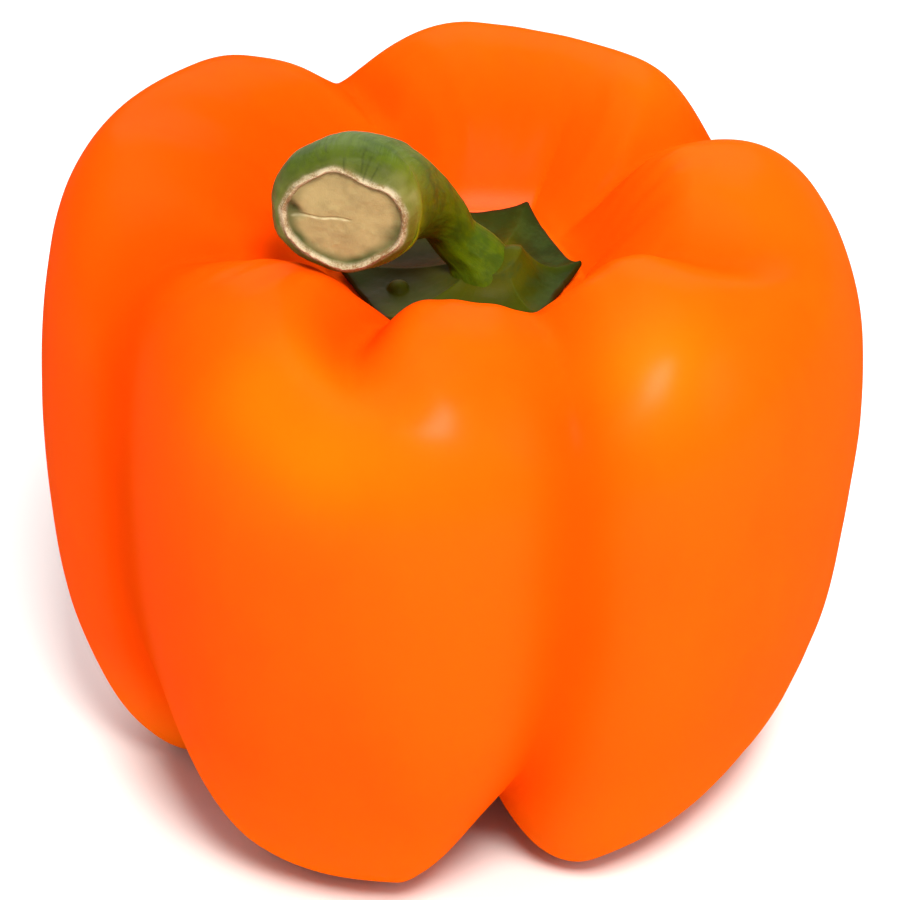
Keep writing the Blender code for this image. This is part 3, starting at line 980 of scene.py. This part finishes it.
@dataclass
class Stem:
    """The stalk: it rises from the calyx, bends to the left and the front, and ends in its cut."""

    plan: RingPlan = RingPlan(320, (4, 168, 112))
    axis: tuple[tuple[float, float, float], ...] = (
        (3.9, -3.3, 60.4), (2.3, -3.3, 63.3), (0.2, -3.5, 65.7), (-1.2, -4.2, 68.4),
        (-3.4, -6.0, 71.1), (-6.6, -9.3, 73.8), (-9.9, -14.1, 75.9), (-10.6, -18.1, 76.3),
    )
    stations: tuple[float, ...] = (
        0.0, 0.06, 0.12, 0.18, 0.286, 0.40, 0.50, 0.62, 0.742, 0.828, 0.897, 0.957, 1.0,
    )
    radii: tuple[float, ...] = (4.2, 3.8, 3.3, 2.8, 2.5, 2.7, 3.1, 4.4, 6.4, 7.5, 7.85, 7.4, 6.1)
    ribs: int = 6
    rib_depth: float = 0.02
    cut_flattening: float = 0.90
    fibre_depth: float = 0.10
    # The cut: its uneven outline, as shares of its radius, its woody ring, and the pith within.
    tear: float = 0.02
    squareness: float = 0.025
    ring_inner: float = 0.935
    ring_waver: float = 0.028
    ring_height: float = 0.26
    shred_height: float = 0.08
    pith_sink: float = 0.40
    swell_height: float = 0.22
    crack_depth: float = 0.12
    crack_end_depth: float = 0.5
    notch_azimuth: float = 158.0
    notch_width: float = 26.0
    notch_depth: float = 0.17
    # How fast the grain layer runs along the axis, in millimetres from end to end.
    grain_length: float = 3.12
    spot_place: tuple[float, float] = (4.3, 1.7)
    spot_radius: float = 0.85
    # Each scratch's azimuth, and the fractions of the axis where it starts and ends.
    scratches: tuple[tuple[float, float, float], ...] = (
        (179.0, 0.955, 1.0), (162.0, 0.90, 0.985), (157.0, 0.93, 1.0), (150.0, 0.95, 0.99),
        (-166.0, 0.90, 0.94),
    )
    # A scratch's half width and its bow, both in degrees, and the share of the axis where it fades.
    scratch_width: float = 0.9
    scratch_bow: float = 1800.0
    scratch_fade: float = 0.015
    scratch_depth: float = 0.6
    # Pale patches by the cut: painted highlights at its right and left sides, and rubbed skin along its upper
    # edge.
    highlights_and_scuffs: tuple[Patch, ...] = (
        Patch(112.0, 24.0, 0.955, 0.035, 0.8),
        Patch(170.0, 60.0, 0.995, 0.02, 0.35),
        Patch(-84.0, 34.0, 0.965, 0.03, 0.7),
    )
    ochre_direction: float = 55.0
    finish: StemFinish = StemFinish()

    def axis_place(self, fraction: np.ndarray) -> np.ndarray:
        """Places on the stem's axis, on a smooth curve through its stations.

        Args:
            fraction: how far along the axis, from 0 to 1.

        Returns:
            Places in millimetres, one per row.
        """
        points = np.array(self.axis)
        spans = len(points) - 1
        along = np.clip(fraction, 0.0, 1.0) * spans
        index = np.minimum(along.astype(int), spans - 1)
        part = (along - index)[:, None]
        before, start = points[np.maximum(index - 1, 0)], points[index]
        end, after = points[index + 1], points[np.minimum(index + 2, spans)]
        return 0.5 * (2.0 * start + (end - before) * part
                      + (2.0 * before - 5.0 * start + 4.0 * end - after) * part ** 2
                      + (3.0 * start - before - 3.0 * end + after) * part ** 3)

    def directions(self, fraction: np.ndarray) -> tuple[np.ndarray, np.ndarray, np.ndarray]:
        """Unit directions at places along the axis.

        Args:
            fraction: how far along the axis, from 0 to 1.

        Returns:
            The way along the axis, the way to its right, and the way down from it.
        """
        step = 0.01
        middle = np.clip(fraction, step, 1.0 - step)
        along = self.axis_place(middle + step) - self.axis_place(middle - step)
        along /= np.linalg.norm(along, axis=1, keepdims=True)
        upright = (1.0 - ease(fraction / 0.25))[:, None]
        along = along * (1.0 - upright) + np.array([0.0, 0.0, 1.0]) * upright
        along /= np.linalg.norm(along, axis=1, keepdims=True)
        right = np.array([1.0, 0.0, 0.0]) - along * along[:, :1]
        right /= np.linalg.norm(right, axis=1, keepdims=True)
        return along, right, np.cross(right, along)

    def side_radius(self, fraction: np.ndarray, angle: np.ndarray) -> np.ndarray:
        """Radius of the stalk's side, with its ribs and fibres.

        Args:
            fraction: how far along the axis, from 0 to 1.
            angle: directions around the axis, in radians, 0 at its underside.

        Returns:
            Radii in millimetres.
        """
        radius = np.interp(fraction, self.stations, self.radii)
        # Neighbouring stations are averaged, so that the side has no corners at them.
        for reach in (0.02, 0.04):
            low = np.interp(np.maximum(fraction - reach, 0.0), self.stations, self.radii)
            high = np.interp(np.minimum(fraction + reach, 1.0), self.stations, self.radii)
            inside = ease(fraction / 0.06) * ease((1.0 - fraction) / 0.06)
            radius += (0.5 * (low + high) - radius) * 0.5 * inside
        fade = ease(fraction / 0.2)
        ribbed = np.cos(self.ribs * angle) + 0.45 * np.cos(11.0 * angle + 0.8)
        return radius * (1.0 - self.rib_depth * (1.45 - ribbed) * 0.6 * fade)

    def build(self) -> bpy.types.Object:
        """Make the stem's mesh, with the woody ring and the pith of its cut end.

        Returns:
            The stem.
        """
        mesh, azimuth, stage = self.plan.sphere()
        angle = np.radians(azimuth)
        fraction = np.clip(stage - 1.0, 0.0, 1.0)
        spread = np.select([stage < 1.0, stage < 2.0], [stage, np.ones_like(stage)], 3.0 - stage)
        on_face = stage > 2.0
        along, right, down = self.directions(fraction)
        radius = self.side_radius(fraction, angle)
        # The cut's own outline is uneven where the knife has torn the skin.
        loop = np.column_stack([np.cos(angle) * 3.0, np.sin(angle) * 3.0, np.zeros_like(angle)])
        torn = rough(loop, 1.6, 2.0) + 0.5 * rough(loop, 0.5, 4.0)
        edge = ease((fraction - 0.95) / 0.05)
        notch = self.notch_depth * bell(wrap(azimuth - self.notch_azimuth) / self.notch_width)
        radius *= 1.0 + (self.tear * torn + self.squareness * np.cos(4.0 * angle) - notch) * edge
        flat = 1.0 - (1.0 - self.cut_flattening) * ease((fraction - 0.6) / 0.3)
        across = radius * spread * np.sin(angle)
        below = radius * spread * flat * np.cos(angle)
        places = self.axis_place(fraction) + right * across[:, None] + down * below[:, None]

        # Fibres run lengthwise on the side. The grain layer follows them.
        grain = np.column_stack([
            radius * np.cos(angle), radius * np.sin(angle), fraction * self.grain_length,
        ])
        fibres = rough(grain, 0.9, 6.0) + 0.6 * rough(grain, 0.4, 9.0)
        sunk = self.fibre_depth * (0.5 - 0.5 * np.clip(fibres, -1, 1)) * ease(fraction / 0.15)
        outward = right * np.sin(angle)[:, None] + down * np.cos(angle)[:, None]
        places -= outward * (sunk * ~on_face)[:, None]

        # The cut face: a torn ring stands out around pith that has dried back.
        face = on_face.astype(float)
        jag = rough(loop, 0.9, 11.0) + 0.7 * rough(loop, 0.25, 13.0)
        inner = self.ring_inner + self.ring_waver * rough(loop, 1.2, 17.0)
        middle = (1.0 + inner) / 2.0
        ring = bell((spread - middle) / (0.5 * (1.0 - inner))) * (0.75 + 0.6 * jag)
        shred = self.shred_height * rough(places, 0.35, 19.0) * ease((spread - inner + 0.04) / 0.05)
        pith = ease((inner - spread) / 0.05)
        swell = self.swell_height * rough(places, 2.6, 21.0) + 0.05 * rough(places, 0.6, 23.0)
        crack_line, crack_lip, crack_end = self.crack(across, below)
        dried = self.pith_sink + self.crack_depth * crack_line + self.crack_end_depth * crack_end
        out = self.ring_height * ring + shred + pith * (swell - dried)
        places += along * (out * face)[:, None]

        spot = bell(np.hypot(across - self.spot_place[0], below - self.spot_place[1]) / self.spot_radius)
        lower = 0.25 + 0.75 * ease((np.cos(angle) + 0.8) / 0.9)
        border = ease((spread - inner + 0.24) / 0.20) * lower * (0.85 + 0.4 * rough(loop, 0.8, 29.0))
        stain = np.clip(crack_end * 0.9 + 0.45 * spot, 0.0, 1.0) * pith
        piece = finish_mesh(mesh, "pepper_stem", places + ORIGIN_SHIFT, {
            Layer.GRAIN: grain,
            Layer.ALONG: fraction,
            Layer.RIPENESS_AND_HIGHLIGHT: self.ochre_side(angle, fraction),
            Layer.CUT: np.where(on_face, 1.0, ease((fraction - 0.985) / 0.015)),
            Layer.PITH: pith * face,
            Layer.RIM: np.clip(border, 0.0, 1.0),
            Layer.STAIN: np.where(on_face, stain, self.scratched(azimuth, fraction)),
            Layer.HIGHLIGHT_AND_SCUFF: self.highlighted_and_scuffed(azimuth, fraction, grain),
            Layer.CRACK: crack_lip * pith * (0.4 + 0.25 * rough(places, 0.5, 37.0)),
        })
        LOG.info("%s: %d faces", piece.name, len(mesh.polygons))
        return piece

    def crack(self, across: np.ndarray, below: np.ndarray) -> tuple[np.ndarray, np.ndarray, np.ndarray]:
        """The drying crack that runs in from the left side of the pith.

        Args:
            across: places on the face to the right of its middle, in millimetres.
            below: places on the face below its middle, in millimetres.

        Returns:
            Closeness to the crack's line, to its pale lower lip, and to its open end, from 0 to 1.
        """
        run = ease((across + 5.4) / 0.5) * ease((0.9 - across) / 1.0)
        bend = 0.25 + 0.05 * across + 0.06 * np.sin(across * 2.1)
        line = bell((below - bend) / 0.09) * run
        lip = bell((below - bend - 0.14) / 0.08) * run
        end = bell((across + 4.9) / 0.8) * bell((below + 0.5 - 0.5 * (across + 4.9)) / 0.7)
        return line, lip, end

    def scratched(self, azimuth: np.ndarray, fraction: np.ndarray) -> np.ndarray:
        """How dark the scratches in the skin behind the cut make each place.

        Args:
            azimuth: directions around the axis, in degrees.
            fraction: how far along the axis, from 0 to 1.

        Returns:
            One value from 0 to 1 per place.
        """
        close = np.zeros_like(azimuth)
        for middle, start, end in self.scratches:
            fade = self.scratch_fade
            run = ease((fraction - start) / fade) * ease((end - fraction) / fade + 0.5)
            aside = wrap(azimuth - middle) + self.scratch_bow * (fraction - start) * (fraction - end)
            close = np.maximum(close, self.scratch_depth * bell(aside / self.scratch_width) * run)
        return close

    def highlighted_and_scuffed(self, azimuth: np.ndarray, fraction: np.ndarray, grain: np.ndarray) -> np.ndarray:
        """How pale each place is: painted highlights at both sides of the cut, and skin rubbed pale along its
        upper edge.
        """
        rubbed = sum(highlight_and_scuff.share(azimuth, fraction) for highlight_and_scuff in self.highlights_and_scuffs)
        return np.clip(rubbed * (0.55 + 0.45 * rough(grain, 0.8, 33.0)), 0.0, 1.0)

    def ochre_side(self, angle: np.ndarray, fraction: np.ndarray) -> np.ndarray:
        """How ochre the skin is: most on the right and below, near the cut end."""
        turned = np.cos(angle - math.radians(self.ochre_direction))
        return 0.8 * ease((turned + 0.1) / 0.9) * ease((fraction - 0.72) / 0.2)

    def dress(self, piece: bpy.types.Object) -> None:
        """Give the stem its finish, its body and its place in the frame.

        Args:
            piece: the stem.
        """
        piece.data.materials.append(self.finish.material())
        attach(piece, "root")
        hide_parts("stem")


# ------------------------------------------------------------------ calyx


@dataclass(frozen=True)
class Spot:
    """A round spot on the calyx: its place and radius in millimetres, and its height or its strength."""

    x: float
    y: float
    radius: float
    amount: float

    def away(self, x: np.ndarray, y: np.ndarray) -> np.ndarray:
        """How far each place lies from the spot's middle, in the spot's radii."""
        return np.hypot(x - self.x, y - self.y) / self.radius


@dataclass
class Calyx:
    """The green star of leaf tissue that joins the stalk to the floor of the hollow."""

    plan: RingPlan = RingPlan(360, (10, 96, 12, 40))
    centre: tuple[float, float] = (3.9, -3.3)
    bottom: float = 59.65
    edge: float = 0.8
    rise: float = 2.2
    rise_power: float = 3.2
    seat_radius: float = 3.0
    tooth_reach: float = 0.5
    tooth_curl: float = 0.9
    tooth_spread: float = 6.0
    ridge_height: float = 0.35
    sag: float = 0.35
    ragged_edge: float = 0.3
    lump_height: float = 0.12
    edge_bulge: float = 0.25
    vein_count: int = 30
    vein_height: float = 0.015
    nub: Spot = Spot(-5.6, -4.8, 1.1, 0.8)
    mound: Spot = Spot(6.0, -3.6, 2.6, 1.9)
    # Painted shadow: the leaf is painted dark brown and less olive under the stalk's bend, where the stalk
    # shades it.
    dried: Spot = Spot(-4.4, -1.4, 4.6, 0.75)
    finish: LeafFinish = LeafFinish()

    def tooth(self, azimuth: np.ndarray) -> np.ndarray:
        """How close each direction is to one of the calyx's teeth.

        Args:
            azimuth: directions from the calyx's middle, in degrees.

        Returns:
            One value from 0 to 1 per direction.
        """
        close = np.zeros_like(azimuth)
        for x, y in CALYX_CORNERS:
            corner = math.degrees(math.atan2(x - self.centre[0], self.centre[1] - y))
            close = np.maximum(close, np.exp(-np.abs(wrap(azimuth - corner)) / self.tooth_spread))
        return close

    def build(self) -> bpy.types.Object:
        """Make the calyx's mesh.

        Returns:
            The calyx.
        """
        mesh, azimuth, stage = self.plan.sphere()
        angle = np.radians(azimuth)
        outline = outline_radius(azimuth, self.centre)
        part = stage - np.floor(stage)
        which = [stage < 1.0, stage < 2.0, stage < 3.0]
        spread = np.select(which, [np.zeros_like(part), part, np.ones_like(part)],
                           np.clip(4.0 - stage, 0.0, 1.0))
        reach = np.where(stage < 1.0, self.seat_radius * part, outline * spread)
        on_top = (stage >= 1.0) & (stage < 2.0)
        reach = np.where(on_top, self.seat_radius + (outline - self.seat_radius) * part, reach)
        tooth = self.tooth(azimuth)
        curl = tooth * spread ** 5
        loop = np.column_stack([np.sin(angle) * 6.0, np.cos(angle) * 6.0, np.zeros_like(angle)])
        uneven = rough(loop, 1.5, 2.2) + 0.5 * rough(loop, 0.6, 5.1)
        reach += self.tooth_reach * curl - self.ragged_edge * (0.5 + 0.5 * uneven) * spread ** 4
        x = self.centre[0] + reach * np.sin(angle)
        y = self.centre[1] - reach * np.cos(angle)

        top = self.bottom + self.edge + self.rise * (1.0 - spread) ** self.rise_power
        # A ridge runs to each tooth, and the leaf sags a little between two of them.
        ridge = np.exp(-np.abs(np.log(np.maximum(tooth, 1e-6))) * 0.8)
        along = np.sin(np.clip(spread, 0.0, 1.0) * math.pi)
        top += self.ridge_height * ridge * along - self.sag * (1.0 - ridge) * along * 0.6
        flat = np.column_stack([x, y, np.zeros_like(x)])
        top += self.lump_height * rough(flat, 2.4, 7.0) + 0.04 * rough(flat, 0.8, 9.0)
        vein = 0.5 + 0.5 * np.cos(angle * self.vein_count + 1.2 * rough(flat, 3.0, 4.0))
        vein = vein ** 6 * ease(spread / 0.2) * (0.55 + 0.45 * rough(flat, 1.6, 12.0))
        top += self.vein_height * vein
        nub_away = self.nub.away(x, y)
        top += self.nub.amount * np.sqrt(np.clip(1.0 - nub_away * nub_away, 0.0, 1.0))
        top += self.mound.amount * bell(self.mound.away(x, y))

        turn = part * math.pi
        rolled = self.bottom + (top - self.bottom) * (0.5 + 0.5 * np.cos(turn))
        height = np.select([stage < 2.0, stage < 3.0], [top, rolled], np.full_like(stage, self.bottom))
        bulge = np.where((stage >= 2.0) & (stage < 3.0), self.edge_bulge * np.sin(turn), 0.0)
        x += bulge * np.sin(angle)
        y -= bulge * np.cos(angle)
        height += self.tooth_curl * curl
        places = np.column_stack([x, y, height]) + ORIGIN_SHIFT
        rim = np.where(stage >= 2.0, 1.0, ease((spread - 0.94) / 0.06)) * (0.6 + 0.4 * uneven)
        olive = 0.35 + 0.35 * np.cos(angle + math.radians(50.0)) + 0.2 * rough(flat, 4.0, 31.0)
        olive = np.maximum(olive, ease((0.55 - spread) / 0.4))
        # Painted shadow under the stalk's bend: less olive, more of the dark brown rim colour.
        brown = bell(self.dried.away(x, y))
        olive *= 1.0 - 0.7 * brown
        rim = np.maximum(rim, self.dried.amount * brown)
        nub = bell(self.nub.away(x, y))
        olive = np.maximum(olive, nub)
        rim *= 1.0 - nub
        piece = finish_mesh(mesh, "pepper_calyx", places, {
            Layer.VEIN: np.clip(0.08 * vein + 0.3 * ridge * along, 0.0, 1.0),
            Layer.RIM: np.clip(rim, 0.0, 0.8),
            Layer.RIPENESS_AND_HIGHLIGHT: np.clip(olive, 0.0, 1.0),
        })
        LOG.info("%s: %d faces", piece.name, len(mesh.polygons))
        return piece

    def dress(self, piece: bpy.types.Object) -> None:
        """Give the calyx its finish, its body and its place in the frame.

        Args:
            piece: the calyx.
        """
        piece.data.materials.append(self.finish.material())
        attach(piece, "root")
        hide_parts("calyx")


# ------------------------------------------------------------------ studio


@dataclass(frozen=True)
class SoftBox:
    """A square soft light: its place and size in metres, the power in watts, and its colour."""

    name: str
    place: tuple[float, float, float]
    size: float
    power: float
    colour: str = "#ffffff"


@dataclass
class Studio:
    """A light tent: pale paper, soft lights, and a long lens that looks down at the pepper."""

    target: tuple[float, float, float] = (0.0, 0.0, 0.038)
    distance: float = 0.470
    elevation: float = 33.0
    lens: float = 180.0
    sensor: float = 36.0
    floor_side: float = 6.0
    tent_colour: str = "#ffffff"
    tent_strength: float = 0.42
    lights: tuple[SoftBox, ...] = (
        SoftBox("key_light", (0.12, -0.62, 0.88), 0.26, 17.0, "#fffaf3"),
        SoftBox("top_light", (-0.10, 0.10, 1.00), 0.80, 2.8),
        SoftBox("right_light", (0.85, -0.35, 0.50), 0.50, 2.0),
        SoftBox("back_light", (0.0, 1.00, 0.62), 0.90, 8.0),
    )
    floor: FloorFinish = FloorFinish()

    def lay_floor(self) -> bpy.types.Object:
        """Lay the sheet of paper that the pepper stands on.

        Returns:
            The floor.
        """
        body = bmesh.new()
        bmesh.ops.create_grid(body, x_segments=1, y_segments=1, size=self.floor_side / 2.0)
        mesh = bpy.data.meshes.new("paper_floor")
        body.to_mesh(mesh)
        body.free()
        mesh.materials.append(self.floor.material())
        floor = bpy.data.objects.new("paper_floor", mesh)
        bpy.context.scene.collection.objects.link(floor)
        return floor

    def hang_lights(self) -> None:
        """Hang each soft light, turned to the pepper, and light the tent's walls evenly."""
        for box in self.lights:
            data = bpy.data.lights.new(box.name, "AREA")
            data.size = box.size
            data.energy = box.power
            data.color = linear(box.colour)[:3]
            light = bpy.data.objects.new(box.name, data)
            light.location = box.place
            light.rotation_euler = (Vector(self.target) - light.location).to_track_quat("-Z", "Y").to_euler()
            bpy.context.scene.collection.objects.link(light)
        world = bpy.data.worlds.new("light_tent")
        world.use_nodes = True
        wall = world.node_tree.nodes["Background"]
        wall.inputs["Color"].default_value = linear(self.tent_colour)
        wall.inputs["Strength"].default_value = self.tent_strength
        bpy.context.scene.world = world

    def place_camera(self) -> None:
        """Place the camera in front of the pepper, looking down at it."""
        data = bpy.data.cameras.new("lens")
        data.lens = self.lens
        data.sensor_width = self.sensor
        camera = bpy.data.objects.new("camera", data)
        angle = math.radians(self.elevation)
        target = Vector(self.target)
        camera.location = target + Vector((0.0, -math.cos(angle), math.sin(angle))) * self.distance
        camera.rotation_euler = (target - camera.location).to_track_quat("-Z", "Y").to_euler()
        bpy.context.scene.collection.objects.link(camera)
        bpy.context.scene.camera = camera

    def build(self) -> None:
        """Set up the floor, the lights and the camera, with colours shown as they are."""
        self.lay_floor()
        self.hang_lights()
        self.place_camera()
        bpy.context.scene.view_settings.view_transform = "Standard"


def main() -> None:
    """Build and dress the pepper's pieces, and set up the studio around them."""
    logging.basicConfig(level=logging.INFO, format="%(name)s: %(message)s")
    for part in (Fruit(), Calyx(), Stem()):
        piece = part.build()
        part.dress(piece)
        LOG.info("%s is dressed as %s", piece.name, piece.data.materials[0].name)
    Studio().build()


if __name__ == "__main__":
    main()
